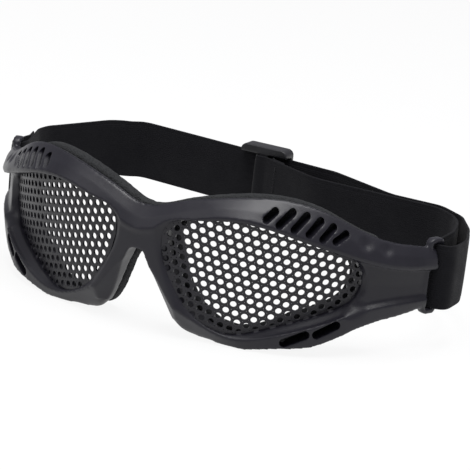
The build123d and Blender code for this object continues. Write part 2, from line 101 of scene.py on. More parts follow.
class Nodes:
    """A small helper that adds and links shader nodes in one tree."""

    def __init__(self, tree: bpy.types.NodeTree) -> None:
        """Keeps the tree.

        Args:
            tree: The shader tree that nodes go into.
        """
        self.tree = tree

    def fill(self, socket: bpy.types.NodeSocket, value: object) -> None:
        """Links an input, or sets its own value.

        Args:
            socket: The input.
            value: The source socket or the value.
        """
        if isinstance(value, bpy.types.NodeSocket):
            self.tree.links.new(value, socket)
        else:
            socket.default_value = value

    def feed(self, node: bpy.types.Node, **values: object) -> None:
        """Fills a node's inputs by name.

        Args:
            node: The node.
            **values: A value or source socket for each, where an underscore stands for a
                space in the input's name.
        """
        for key, value in values.items():
            self.fill(node.inputs[key.replace("_", " ")], value)

    def add(self, kind: str, **values: object) -> bpy.types.Node:
        """Adds a node and sets its properties and unlinked inputs.

        Args:
            kind: The node's type name without its ShaderNode prefix.
            **values: A property's value, or an input's value or source socket, where an
                underscore stands for a space in the input's name.

        Returns:
            The new node.
        """
        node = self.tree.nodes.new("ShaderNode" + kind)
        for key, value in values.items():
            name = key.replace("_", " ")
            if hasattr(node, key) and name not in node.inputs:
                setattr(node, key, value)
            else:
                self.fill(node.inputs[name], value)
        return node

    def math(self, operation: str, *values: object) -> bpy.types.NodeSocket:
        """Adds a Math node.

        Args:
            operation: The operation's name.
            *values: Its numbers or sockets, in order.

        Returns:
            The result's socket.
        """
        node = self.tree.nodes.new("ShaderNodeMath")
        node.operation = operation
        for socket, value in zip(node.inputs, values):
            self.fill(socket, value)
        return node.outputs[0]

    def mix(self, mask: bpy.types.NodeSocket, low: Colour, high: Colour) -> bpy.types.NodeSocket:
        """Mixes two colours by a mask.

        Args:
            mask: The socket that goes from the low colour at 0 to the high one at 1.
            low: The first colour.
            high: The second colour.

        Returns:
            The mixed colour's socket.
        """
        node = self.tree.nodes.new("ShaderNodeMix")
        node.data_type = "RGBA"
        self.tree.links.new(mask, node.inputs["Factor"])
        node.inputs[MIX_LOW].default_value = low
        node.inputs[MIX_HIGH].default_value = high
        return node.outputs[MIX_RESULT]

    def spread(self, value: bpy.types.NodeSocket, low: float, high: float) -> bpy.types.NodeSocket:
        """Spreads a value between 0 and 1 over a range.

        Args:
            value: The socket to spread.
            low: The result at 0.
            high: The result at 1.

        Returns:
            The spread value's socket.
        """
        node = self.add("MapRange", Value=value, To_Min=low, To_Max=high)
        return node.outputs["Result"]


def new_group(name: str, numbers: Iterable[str], results: Iterable[str]) -> tuple[Nodes, dict]:
    """Starts a shared shader effect with a Vector input and named numbers.

    Args:
        name: The group's name.
        numbers: Names of its number inputs.
        results: Names of its number outputs.

    Returns:
        The helper for its tree, and its group input and output nodes.
    """
    tree = bpy.data.node_groups.new(name, "ShaderNodeTree")
    tree.interface.new_socket("Vector", in_out="INPUT", socket_type="NodeSocketVector")
    for number in numbers:
        tree.interface.new_socket(number, in_out="INPUT", socket_type="NodeSocketFloat")
    for result in results:
        tree.interface.new_socket(result, in_out="OUTPUT", socket_type="NodeSocketFloat")
    ends = {"in": tree.nodes.new("NodeGroupInput"), "out": tree.nodes.new("NodeGroupOutput")}
    return Nodes(tree), ends


def grain_group() -> bpy.types.NodeTree:
    """Makes the fine moulded or painted grain with slow handling marks.

    Returns:
        A group with inputs Vector, Grain Scale and Mark Scale, and outputs Height and Marks.
    """
    nodes, ends = new_group("surface_grain", ("Grain Scale", "Mark Scale"), ("Height", "Marks"))
    place = ends["in"].outputs["Vector"]
    fine = nodes.add("TexNoise", Vector=place, Scale=ends["in"].outputs["Grain Scale"],
                     Detail=4.0, Roughness=0.6)
    marks = nodes.add("TexNoise", Vector=place, Scale=ends["in"].outputs["Mark Scale"],
                      Detail=6.0, Roughness=0.65, Distortion=0.4)
    nodes.tree.links.new(fine.outputs["Fac"], ends["out"].inputs["Height"])
    strong = nodes.add("MapRange", Value=marks.outputs["Fac"], From_Min=0.35, From_Max=0.7)
    nodes.tree.links.new(strong.outputs["Result"], ends["out"].inputs["Marks"])
    return nodes.tree


def weave_group() -> bpy.types.NodeTree:
    """Makes the ribbed weave of an elastic from a place along and across a tape.

    Returns:
        A group with inputs Vector, Rib Pitch and Pick Pitch in metres, and outputs Height
        and Groove.
    """
    nodes, ends = new_group("elastic_weave", ("Rib Pitch", "Pick Pitch"), ("Height", "Groove"))
    split = nodes.add("SeparateXYZ", Vector=ends["in"].outputs["Vector"])
    turn = nodes.math("DIVIDE", split.outputs["Y"], ends["in"].outputs["Rib Pitch"])
    rib = nodes.math("ABSOLUTE", nodes.math("SINE", nodes.math("MULTIPLY", turn, math.pi)))
    step = nodes.math("DIVIDE", split.outputs["X"], ends["in"].outputs["Pick Pitch"])
    shift = nodes.math("MULTIPLY", nodes.math("FLOOR", turn), PICK_SHIFT)
    shifted = nodes.math("ADD", step, shift)
    pick = nodes.math("ABSOLUTE", nodes.math("SINE", nodes.math("MULTIPLY", shifted, math.pi)))
    round_rib = nodes.math("POWER", rib, RIB_ROUNDNESS)
    raised = nodes.math("MULTIPLY_ADD", pick, PICK_DEPTH, 1 - PICK_DEPTH)
    height = nodes.math("MULTIPLY", round_rib, raised)
    nodes.tree.links.new(height, ends["out"].inputs["Height"])
    groove = nodes.math("SUBTRACT", 1.0, round_rib)
    nodes.tree.links.new(groove, ends["out"].inputs["Groove"])
    return nodes.tree


def new_material(name: str) -> tuple[bpy.types.Material, Nodes, bpy.types.Node]:
    """Starts a material.

    Args:
        name: The material's name.

    Returns:
        The material, the helper for its tree and its shader.
    """
    material = bpy.data.materials.new(name)
    material.use_nodes = True
    return material, Nodes(material.node_tree), material.node_tree.nodes["Principled BSDF"]


@dataclass(frozen=True)
class GrainFinish:
    """A solid finish with fine grain, slow marks and slightly uneven gloss."""

    name: str
    base: Colour
    worn: Colour
    roughness: tuple[float, float]
    grain_scale: float
    mark_scale: float
    bump: float
    specular: float
    depth: float = 0.1 * MM

    def make(self, grain: bpy.types.NodeTree) -> bpy.types.Material:
        """Builds the material.

        Args:
            grain: The shared grain group.

        Returns:
            The new material.
        """
        material, nodes, shader = new_material(self.name)
        place = nodes.add("TexCoord").outputs["Object"]
        look = nodes.add("Group", node_tree=grain, Vector=place,
                         Grain_Scale=self.grain_scale, Mark_Scale=self.mark_scale)
        bump = nodes.add("Bump", Height=look.outputs["Height"], Strength=self.bump,
                         Distance=self.depth)
        nodes.feed(shader, Base_Color=nodes.mix(look.outputs["Marks"], self.base, self.worn),
                   Roughness=nodes.spread(look.outputs["Marks"], *self.roughness),
                   Normal=bump.outputs["Normal"], Specular_IOR_Level=self.specular)
        return material


@dataclass(frozen=True)
class FoamFinish:
    """Matt foam with small open cells."""

    name: str
    skin: Colour
    pore: Colour
    cell_scale: float
    cell_reach: float = 0.6
    mark_scale: float = 60.0
    grain_share: float = 0.4
    roughness: tuple[float, float] = (0.85, 0.98)
    bump: float = 0.8
    specular: float = 0.25
    depth: float = 0.3 * MM

    def make(self, grain: bpy.types.NodeTree) -> bpy.types.Material:
        """Builds the material.

        Args:
            grain: The shared grain group.

        Returns:
            The new material.
        """
        material, nodes, shader = new_material(self.name)
        place = nodes.add("TexCoord").outputs["Object"]
        cells = nodes.add("TexVoronoi", Vector=place, Scale=self.cell_scale)
        walls = nodes.add("MapRange", Value=cells.outputs["Distance"],
                          From_Max=self.cell_reach).outputs["Result"]
        look = nodes.add("Group", node_tree=grain, Vector=place,
                         Grain_Scale=self.cell_scale * 2, Mark_Scale=self.mark_scale)
        rough_skin = nodes.math("MULTIPLY", look.outputs["Height"], self.grain_share)
        bump = nodes.add("Bump", Height=nodes.math("ADD", walls, rough_skin),
                         Strength=self.bump, Distance=self.depth)
        nodes.feed(shader, Base_Color=nodes.mix(walls, self.pore, self.skin),
                   Roughness=nodes.spread(look.outputs["Marks"], *self.roughness),
                   Normal=bump.outputs["Normal"], Specular_IOR_Level=self.specular)
        return material


@dataclass(frozen=True)
class ElasticFinish:
    """Woven elastic tape that reads its place along and across from an attribute."""

    name: str
    rib: Colour
    gap: Colour
    rib_pitch: float
    pick_pitch: float
    fuzz_scale: float = 9000.0
    mark_scale: float = 90.0
    fuzz_share: float = 0.3
    roughness: tuple[float, float] = (0.72, 0.9)
    bump: float = 0.45
    specular: float = 0.15
    sheen: tuple[float, float] = (0.04, 0.5)
    depth: float = 0.2 * MM

    def make(self, grain: bpy.types.NodeTree, weave: bpy.types.NodeTree) -> bpy.types.Material:
        """Builds the material.

        Args:
            grain: The shared grain group.
            weave: The shared weave group.

        Returns:
            The new material.
        """
        material, nodes, shader = new_material(self.name)
        along = nodes.add("Attribute", attribute_name="tape_place").outputs["Vector"]
        look = nodes.add("Group", node_tree=weave, Vector=along,
                         Rib_Pitch=self.rib_pitch, Pick_Pitch=self.pick_pitch)
        place = nodes.add("TexCoord").outputs["Object"]
        fuzz = nodes.add("Group", node_tree=grain, Vector=place,
                         Grain_Scale=self.fuzz_scale, Mark_Scale=self.mark_scale)
        soft = nodes.math("MULTIPLY", fuzz.outputs["Height"], self.fuzz_share)
        bump = nodes.add("Bump", Height=nodes.math("ADD", look.outputs["Height"], soft),
                         Strength=self.bump, Distance=self.depth)
        sheen, sheen_roughness = self.sheen
        nodes.feed(shader, Base_Color=nodes.mix(look.outputs["Groove"], self.rib, self.gap),
                   Roughness=nodes.spread(fuzz.outputs["Marks"], *self.roughness),
                   Normal=bump.outputs["Normal"], Specular_IOR_Level=self.specular,
                   Sheen_Weight=sheen, Sheen_Roughness=sheen_roughness)
        return material


def palette() -> dict[Slot, bpy.types.Material]:
    """Builds every finish of the goggles.

    Returns:
        The material of each of the record's slots.
    """
    grain = grain_group()
    weave = weave_group()
    return {
        Slot.RUBBER: GrainFinish(
            "charcoal_moulded_rubber", (0.0088, 0.0083, 0.0125, 1), (0.0125, 0.0119, 0.017, 1),
            (0.34, 0.46), 2600.0, 45.0, 0.2, 0.34).make(grain),
        Slot.MESH: GrainFinish(
            "black_painted_mesh", (0.007, 0.0066, 0.0098, 1), (0.011, 0.0104, 0.015, 1),
            (0.32, 0.44), 3000.0, 70.0, 0.25, 0.36).make(grain),
        Slot.PLASTIC: GrainFinish(
            "black_slider_plastic", (0.008, 0.008, 0.009, 1), (0.012, 0.012, 0.014, 1),
            (0.36, 0.46), 2200.0, 60.0, 0.2, 0.4).make(grain),
        Slot.THREAD: GrainFinish(
            "black_sewing_thread", (0.007, 0.007, 0.009, 1), (0.012, 0.012, 0.014, 1),
            (0.6, 0.75), 8000.0, 300.0, 0.6, 0.3).make(grain),
        Slot.FOAM: FoamFinish(
            "black_pad_foam", (0.02, 0.021, 0.022, 1), (0.008, 0.008, 0.009, 1),
            1500.0).make(grain),
        Slot.ELASTIC: ElasticFinish(
            "black_ribbed_elastic", (0.0045, 0.0045, 0.0062, 1), (0.0022, 0.0022, 0.003, 1),
            0.8 * MM, 0.7 * MM).make(grain, weave)}


def placed(name: str, data: bpy.types.ID) -> bpy.types.Object:
    """Puts a mesh, lamp or camera into the scene.

    Args:
        name: The object's name.
        data: What it holds.

    Returns:
        The new object.
    """
    item = bpy.data.objects.new(name, data)
    bpy.context.scene.collection.objects.link(item)
    return item


def mesh_of(work: bmesh.types.BMesh) -> bpy.types.Mesh:
    """Turns a mesh that is worked on into a finished one, and frees it.

    Args:
        work: The mesh that is worked on.

    Returns:
        The finished mesh.
    """
    mesh = bpy.data.meshes.new("work")
    work.to_mesh(mesh)
    work.free()
    return mesh


def applied(carrier: bpy.types.Object) -> bpy.types.Mesh:
    """Takes an object's mesh with its modifiers applied, and removes the object.

    Args:
        carrier: The object.

    Returns:
        The new mesh.
    """
    depsgraph = bpy.context.evaluated_depsgraph_get()
    result = bpy.data.meshes.new_from_object(carrier.evaluated_get(depsgraph))
    bpy.data.objects.remove(carrier)
    return result


@dataclass(frozen=True)
class Piece:
    """A visible piece: what makes its mesh, its finish, its body and the nodes it stands for.

    It has no body of its own where it bends between the two.
    """

    name: str
    make: Callable[[], bpy.types.Mesh]
    slot: Slot
    body: Body | None
    nodes: tuple[str, ...] = ()

    def build(self, materials: dict[Slot, bpy.types.Material]) -> bpy.types.Object:
        """Makes the piece, gives it its finish and sets what it rides on.

        Args:
            materials: The material of each slot.

        Returns:
            The new object.
        """
        mesh = self.make()
        mesh.name = self.name
        mesh.materials.clear()
        mesh.materials.append(materials[self.slot])
        piece = placed(self.name, mesh)
        if self.body:
            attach(piece, self.body.value)
        else:
            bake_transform(piece)
        if self.nodes:
            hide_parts(*self.nodes)
        return piece


def merged_mesh(node: str) -> bpy.types.Mesh:
    """Copies a node's mesh with its loose triangles joined.

    Args:
        node: The node's name.

    Returns:
        The joined copy, in the row's frame.
    """
    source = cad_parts[node]
    work = bmesh.new()
    work.from_mesh(source.data)
    work.transform(source.matrix_world)
    bmesh.ops.remove_doubles(work, verts=work.verts, dist=WELD_GAP)
    return mesh_of(work)


def softened(mesh: bpy.types.Mesh, voxel: float, rounds: int) -> bpy.types.Mesh:
    """Rebuilds a closed mesh from small cubes and smooths it, which rounds its edges.

    Args:
        mesh: The closed mesh to soften.
        voxel: The size of the cubes, in metres.
        rounds: How many times it is smoothed.

    Returns:
        The softened mesh.
    """
    carrier = placed("softened_work", mesh)
    remesh = carrier.modifiers.new("cubes", "REMESH")
    remesh.mode = "VOXEL"
    remesh.voxel_size = voxel
    remesh.adaptivity = 0.0
    smooth = carrier.modifiers.new("smooth", "SMOOTH")
    smooth.factor = EASING
    smooth.iterations = rounds
    result = applied(carrier)
    shade(result)
    return result


def shade(mesh: bpy.types.Mesh, sharp_angle: float | None = None) -> None:
    """Shades a mesh smooth apart from its sharp edges.

    Args:
        mesh: The mesh.
        sharp_angle: Edges over this angle stay sharp, in degrees. No edge does without it.
    """
    mesh.shade_smooth()
    if sharp_angle is not None:
        mesh.set_sharp_from_angle(angle=math.radians(sharp_angle))


def closed_mesh(work: bmesh.types.BMesh, sharp_angle: float | None = None) -> bpy.types.Mesh:
    """Turns a closed mesh that is worked on into a shaded one, with its faces outwards.

    Args:
        work: The mesh that is worked on.
        sharp_angle: Edges over this angle stay sharp, in degrees. No edge does without it.

    Returns:
        The shaded mesh.
    """
    bmesh.ops.recalc_face_normals(work, faces=work.faces[:])
    mesh = mesh_of(work)
    shade(mesh, sharp_angle)
    return mesh


def face_place(angle: float, out: float, height: float) -> Vector:
    """Gives a place by its angle round the face.

    Args:
        angle: Degrees from the middle of the face, less than zero on the wearer's right.
        out: The distance outside the face radius, in metres.
        height: The height, in metres.

    Returns:
        The place in the row's frame.
    """
    return Vector((0, FACE_AXIS_Y, height)) + outward(angle) * (FACE_RADIUS + out)


def outward(angle: float) -> Vector:
    """Gives the direction out of the face at an angle from its middle, in degrees."""
    turn = math.radians(angle)
    return Vector((math.sin(turn), -math.cos(turn), 0))


def face_angle(place: Vector) -> float:
    """Gives a place's angle from the middle of the face, in degrees, on either side."""
    return math.degrees(math.atan2(abs(place.x), FACE_AXIS_Y - place.y))


def sweep(work: bmesh.types.BMesh, ring: list[bmesh.types.BMVert], frames: list[Matrix],
          mark: Callable[[list[bmesh.types.BMVert], float], None] | None = None) -> None:
    """Draws a capped ring of vertices along a row of frames and closes its far end.

    Args:
        work: The mesh that holds the ring.
        ring: The ring's vertices, in the section's own axes.
        frames: Where the section stands, one after the other.
        mark: What is done to each new ring, given how far along it is.
    """
    bmesh.ops.transform(work, matrix=frames[0], verts=ring)
    edges = list({edge for vertex in ring for edge in vertex.link_edges})
    run = 0.0
    for before, after in zip(frames, frames[1:]):
        run += (after.translation - before.translation).length
        made = bmesh.ops.extrude_edge_only(work, edges=edges)["geom"]
        edges = [item for item in made if isinstance(item, bmesh.types.BMEdge)]
        verts = [item for item in made if isinstance(item, bmesh.types.BMVert)]
        bmesh.ops.transform(work, matrix=after @ before.inverted(), verts=verts)
        if mark:
            mark(verts, run)
    bmesh.ops.holes_fill(work, edges=edges, sides=0)


def eased(work: bmesh.types.BMesh, middle: Vector, reach: float, rounds: int) -> None:
    """Smooths a mesh round one place.

    Args:
        work: The mesh.
        middle: The place.
        reach: How far from it the mesh is smoothed, in metres.
        rounds: How many times.
    """
    near = [vertex for vertex in work.verts if (vertex.co - middle).length < reach]
    for _ in range(rounds):
        bmesh.ops.smooth_vert(work, verts=near, factor=EASING, use_axis_x=True,
                              use_axis_y=True, use_axis_z=True)


@dataclass(frozen=True)
class Dent:
    """A shallow round hollow: where its middle is, how wide it is and how deep."""

    angle: float
    out: float
    height: float
    radius: float
    depth: float

    def middle(self, side: int) -> Vector:
        """Gives the hollow's middle on one side."""
        return face_place(side * self.angle, self.out, self.height)

    def press(self, work: bmesh.types.BMesh, side: int, outwards: Vector) -> None:
        """Presses the hollow into a mesh.

        Args:
            work: The mesh.
            side: 1 for the wearer's left, -1 for the right.
            outwards: The direction that it is pressed against.
        """
        middle = self.middle(side)
        for vertex in work.verts:
            share = (vertex.co - middle).length / self.radius
            if share < 1:
                vertex.co -= outwards * self.depth * (1 - share * share) ** 2


@dataclass(frozen=True)
class Vent:
    """A long vent hole: its two ends, as angles and shares of the height, and its width.

    The skin is how far outside the face radius the frame's outer face lies at its middle,
    and the slope is how far that face falls back for each step up.
    """

    low_angle: float
    low_share: float
    high_angle: float
    high_share: float
    width: float
    skin: float
    slope: float
    corners: int = 24

    def shape(self, work: bmesh.types.BMesh, side: int, grow: float, start: float, end: float,
              leaning: bool) -> None:
        """Adds a long round-ended block along the hole.

        Args:
            work: The mesh that it goes into.
            side: 1 for the wearer's left, -1 for the right.
            grow: How much wider than the hole it is on each side.
            start: Its outer end, outside the face radius.
            end: Its inner end.
            leaning: Whether its outer end leans as the frame's face does.
        """
        low = face_place(side * self.low_angle, 0, self.low_share * FRAME_HEIGHT)
        high = face_place(side * self.high_angle, 0, self.high_share * FRAME_HEIGHT)
        out = outward(side * (self.low_angle + self.high_angle) / 2)
        along = (high - low).normalized()
        stretch = (high - low).length / 2
        others = set(work.verts)
        ring = bmesh.ops.create_circle(work, segments=self.corners,
                                       radius=self.width / 2 + grow, cap_ends=True)["verts"]
        for vertex in ring:
            vertex.co.y += math.copysign(stretch, vertex.co.y)
        centre = (low + high) / 2
        turn = Matrix((along.cross(out), along, out)).transposed().to_4x4()
        sweep(work, ring, [Matrix.Translation(centre + out * reach) @ turn
                           for reach in (end, start)])
        if not leaning:
            return
        for vertex in work.verts:
            if vertex not in others and (vertex.co - centre).dot(out) > (start + end) / 2:
                vertex.co -= out * (vertex.co.z - centre.z) * self.slope


@dataclass(frozen=True)
class MouldedFrame:
    """The soft one-piece frame, with the rounded edges of a moulding.

    The solid's vents are plugged below its skin and its edges are rounded. Its lower edge and
    chin are then eased, each opening's corner and the dimples are pressed in, and the vents are
    cut again with crisp walls. A place is an angle, a distance outside the face radius and a
    height.
    """

    voxel: float = 0.56 * MM
    smoothing: int = 4
    dents: tuple[Dent, ...] = (
        Dent(45.9, 2.5 * MM, 42.1 * MM, 3.4 * MM, 0.34 * MM),
        Dent(50.4, 2.5 * MM, 39.9 * MM, 2.9 * MM, 0.3 * MM))
    dent_rounds: int = 20
    brow_lean: tuple[float, float] = (0.8, 0.6)
    vents: tuple[Vent, ...] = (
        Vent(25.8, 0.893, 27.3, 0.94, 2.2 * MM, 2.0 * MM, 0.65),
        Vent(28.3, 0.867, 30.7, 0.942, 2.3 * MM, 2.4 * MM, 0.65),
        Vent(31.2, 0.847, 33.5, 0.925, 2.3 * MM, 2.5 * MM, 0.65),
        Vent(34.1, 0.825, 36.3, 0.9, 2.3 * MM, 2.6 * MM, 0.62),
        Vent(36.8, 0.798, 38.9, 0.867, 2.3 * MM, 2.9 * MM, 0.6),
        Vent(39.4, 0.787, 41.5, 0.827, 2.2 * MM, 2.8 * MM, 0.6),
        Vent(31.7, 0.091, 35.6, 0.153, 2.9 * MM, 3.1 * MM, -0.1),
        Vent(37.8, 0.162, 41.4, 0.227, 2.9 * MM, 3.7 * MM, -0.1))
    vent_start: float = 12.0 * MM
    vent_end: float = -9.0 * MM
    vent_widening: float = 0.28 * MM
    plug_sink: float = 0.9 * MM
    plug_end: float = -3.4 * MM
    plug_grow: float = 0.15 * MM
    chin_places: tuple[tuple[float, float, float], ...] = (
        (14.5, -3.5 * MM, 0.5 * MM), (10.5, -4.5 * MM, 1.0 * MM))
    chin_reach: float = 6.0 * MM
    chin_rounds: int = 40
    base_edge: tuple[tuple[float, float, float], ...] = (
        (38.0, 3.5 * MM, 4.3 * MM), (46.0, 3.1 * MM, 10.8 * MM), (52.0, 2.3 * MM, 13.75 * MM),
        (61.0, 1.75 * MM, 16.9 * MM))
    edge_step: float = 1.0 * MM
    edge_reach: float = 2.4 * MM
    edge_rounds: int = 2
    corner: Dent = Dent(44.8, 2.2 * MM, 18.6 * MM, 5.0 * MM, 0.8 * MM)
    corner_rounds: int = 30
    sharp: float = 50.0

    def blocks(self, grow: float, sunk: bool) -> bmesh.types.BMesh:
        """Makes a long round-ended block at every vent.

        Args:
            grow: How much wider than the vents they are on each side.
            sunk: Whether they end below the frame's skin. The others go through it.

        Returns:
            The blocks of both sides.
        """
        work = bmesh.new()
        for side in (-1, 1):
            for vent in self.vents:
                start = vent.skin - self.plug_sink if sunk else self.vent_start
                end = self.plug_end if sunk else self.vent_end
                vent.shape(work, side, grow, start, end, sunk)
        bmesh.ops.recalc_face_normals(work, faces=work.faces[:])
        return work

    def plugged(self, mesh: bpy.types.Mesh) -> None:
        """Fills the vents below the skin, so that they can be cut with crisp walls later.

        Args:
            mesh: The frame's joined mesh.
        """
        work = self.blocks(self.plug_grow, True)
        work.from_mesh(mesh)
        work.to_mesh(mesh)
        work.free()

    def vented(self, mesh: bpy.types.Mesh) -> bpy.types.Mesh:
        """Cuts the vents and keeps the edges round their walls sharp.

        The frame and the cutter have a scratch material each, which tell the walls from the
        rest until the edges are marked.

        Args:
            mesh: The softened frame.

        Returns:
            The frame with its vents.
        """
        cutter = placed("vent_cutter", mesh_of(self.blocks(self.vent_widening, False)))
        scratch = [bpy.data.materials.new(name) for name in ("skin", "cut_wall")]
        for side, material in zip((mesh, cutter.data), scratch):
            side.materials.append(material)
        carrier = placed("vented_work", mesh)
        cut = carrier.modifiers.new("vents", "BOOLEAN")
        cut.operation = "DIFFERENCE"
        cut.solver = "EXACT"
        cut.material_mode = "TRANSFER"
        cut.object = cutter
        result = applied(carrier)
        bpy.data.objects.remove(cutter)
        shade(result, self.sharp)
        work = bmesh.new()
        work.from_mesh(result)
        for edge in work.edges:
            if len({face.material_index for face in edge.link_faces}) > 1:
                edge.smooth = False
        for face in work.faces:
            face.material_index = 0
        work.to_mesh(result)
        work.free()
        for material in scratch:
            bpy.data.materials.remove(material)
        return result

    def pressed(self, mesh: bpy.types.Mesh) -> None:
        """Eases the lower edge and the chin, and presses in each opening's corner and dimples.

        Args:
            mesh: The softened frame.
        """
        lean_out, lean_up = self.brow_lean
        work = bmesh.new()
        work.from_mesh(mesh)
        for side in (-1, 1):
            stops = [(face_place(side * angle, out, 0), height)
                     for angle, out, height in self.base_edge]
            for place, height in resampled(stops, self.edge_step):
                eased(work, place + Vector((0, 0, height)), self.edge_reach, self.edge_rounds)
            for angle, out, height in self.chin_places:
                eased(work, face_place(side * angle, out, height), self.chin_reach,
                      self.chin_rounds)
            eased(work, self.corner.middle(side), self.corner.radius, self.corner_rounds)
            self.corner.press(work, side, outward(side * self.corner.angle))
            for dent in self.dents:
                eased(work, dent.middle(side), dent.radius, self.dent_rounds)
                push = outward(side * dent.angle) * lean_out + Vector((0, 0, lean_up))
                dent.press(work, side, push)
        work.to_mesh(mesh)
        work.free()

    def mesh(self) -> bpy.types.Mesh:
        """Softens the frame's solid and cuts its vents clean.

        Returns:
            The frame's mesh.
        """
        joined = merged_mesh("frame")
        self.plugged(joined)
        mesh = softened(joined, self.voxel, self.smoothing)
        self.pressed(mesh)
        return self.vented(mesh)


@dataclass(frozen=True)
class PartingLine:
    """The thin raised line that the mould leaves along the brow's top edge."""

    reach: float = 58.0
    step: float = 1.0
    inner: float = -7.0 * MM
    outer: float = 3.0 * MM
    search: float = 0.2 * MM
    radius: float = 0.2 * MM
    sink: float = 0.04 * MM
    easing: int = 3
    above: float = 1.0
    corners: int = 8

    def looked_down(self, tree: BVHTree, angle: float, out: float) -> Vector | None:
        """Looks straight down on the frame at one place.

        Args:
            tree: The frame's faces.
            angle: Degrees from the middle of the face.
            out: The distance outside the face radius.

        Returns:
            The highest point there, or None beside the frame.
        """
        return tree.ray_cast(face_place(angle, out, self.above), Vector((0, 0, -1)))[0]

    def crest(self, tree: BVHTree) -> list[tuple[Vector, float]]:
        """Finds the top edge of the frame by looking down on it.

        Args:
            tree: The frame's faces.

        Returns:
            Places in plan and heights, from one temple to the other.
        """
        found = []
        for k in range(int(2 * self.reach / self.step) + 1):
            angle = k * self.step - self.reach
            best = (-math.inf, 0.0)
            for j in range(int((self.outer - self.inner) / self.search) + 1):
                out = self.inner + j * self.search
                spot = self.looked_down(tree, angle, out)
                if spot is not None:
                    best = max(best, (spot.z, out))
            found.append((angle, best[1]))
        line = []
        for k, (angle, _) in enumerate(found):
            near = found[max(0, k - self.easing):k + self.easing + 1]
            out = sum(row[1] for row in near) / len(near)
            spot = self.looked_down(tree, angle, out)
            line.append((face_place(angle, out, 0), spot.z - self.sink))
        return line

    def mesh(self) -> bpy.types.Mesh:
        """Lays the line on the finished frame.

        Returns:
            The line's mesh.
        """
        surface = bmesh.new()
        surface.from_mesh(bpy.data.objects["moulded_frame"].data)
        line = self.crest(BVHTree.FromBMesh(surface))
        surface.free()
        work = bmesh.new()
        ring = bmesh.ops.create_circle(work, segments=self.corners, radius=self.radius,
                                       cap_ends=True)["verts"]
        sweep(work, ring, tape_frames(line, 0.0))
        return closed_mesh(work)


@dataclass(frozen=True)
class FacePad:
    """The foam pad, which drops behind the cheek's vents and rises behind the brow."""

    voxel: float = 1.1 * MM
    smoothing: int = 6
    crush: float = 0.25 * MM
    crush_scale: float = 60.0
    drop: float = 3.2 * MM
    drop_angle: float = 31.5
    drop_spread: float = 7.0
    drop_top: float = 12.0 * MM
    drop_blend: float = 6.0 * MM
    rise: float = 2.4 * MM
    rise_blend: float = 6.0 * MM
    angle_step: float = 2.0

    def tops(self, mesh: bpy.types.Mesh) -> list[float]:
        """Measures the height of the pad's top edge round the face.

        Args:
            mesh: The pad's mesh.

        Returns:
            The highest point in each small range of angles, from the middle of the face out.
        """
        found: dict[int, float] = {}
        for vertex in mesh.vertices:
            spot = int(face_angle(vertex.co) / self.angle_step)
            found[spot] = max(found.get(spot, 0.0), vertex.co.z)
        return [found[spot] for spot in sorted(found)]

    def brow_rise(self, place: Vector, tops: list[float]) -> float:
        """Says how far the pad stands up behind the brow's edge at a place.

        Args:
            place: The place on the pad.
            tops: The heights of its top edge.

        Returns:
            The rise in metres.
        """
        spot = max(0.0, face_angle(place) / self.angle_step - 0.5)
        low = min(int(spot), len(tops) - 1)
        high = min(low + 1, len(tops) - 1)
        top = tops[low] + (tops[high] - tops[low]) * (spot - low)
        return self.rise * max(0.0, min(1.0, 1 + (place.z - top) / self.rise_blend))

    def cheek_drop(self, place: Vector) -> float:
        """Says how far the pad's lower edge hangs behind the cheek vents at a place.

        Args:
            place: The place on the pad.

        Returns:
            The drop in metres.
        """
        window = math.exp(-((face_angle(place) - self.drop_angle) / self.drop_spread) ** 2)
        low = max(0.0, min(1.0, (self.drop_top - place.z) / self.drop_blend))
        return self.drop * window * low

    def mesh(self) -> bpy.types.Mesh:
        """Softens the pad's solid and presses it unevenly.

        Returns:
            The pad's mesh.
        """
        mesh = softened(merged_mesh("face_pad"), self.voxel, self.smoothing)
        tops = self.tops(mesh)
        for vertex in mesh.vertices:
            sway = noise.noise(vertex.co * self.crush_scale)
            vertex.co.z += self.brow_rise(vertex.co, tops) - self.cheek_drop(vertex.co)
            vertex.co += vertex.normal * sway * self.crush
        return mesh


LENS_OUTLINE = (
    (11.4, 0.233), (13.5, 0.169), (16.1, 0.118), (19.1, 0.087), (22.5, 0.089), (26.6, 0.127),
    (31.6, 0.184), (36.6, 0.242), (41.7, 0.305), (45.0, 0.378), (46.2, 0.462), (46.2, 0.545),
    (44.9, 0.62), (41.6, 0.678), (36.7, 0.73), (31.5, 0.781), (26.5, 0.824), (22.0, 0.84),
    (17.0, 0.829), (12.5, 0.806), (9.2, 0.784), (7.2, 0.745), (6.2, 0.68), (6.2, 0.6),
    (7.0, 0.496), (8.6, 0.385), (10.2, 0.295))


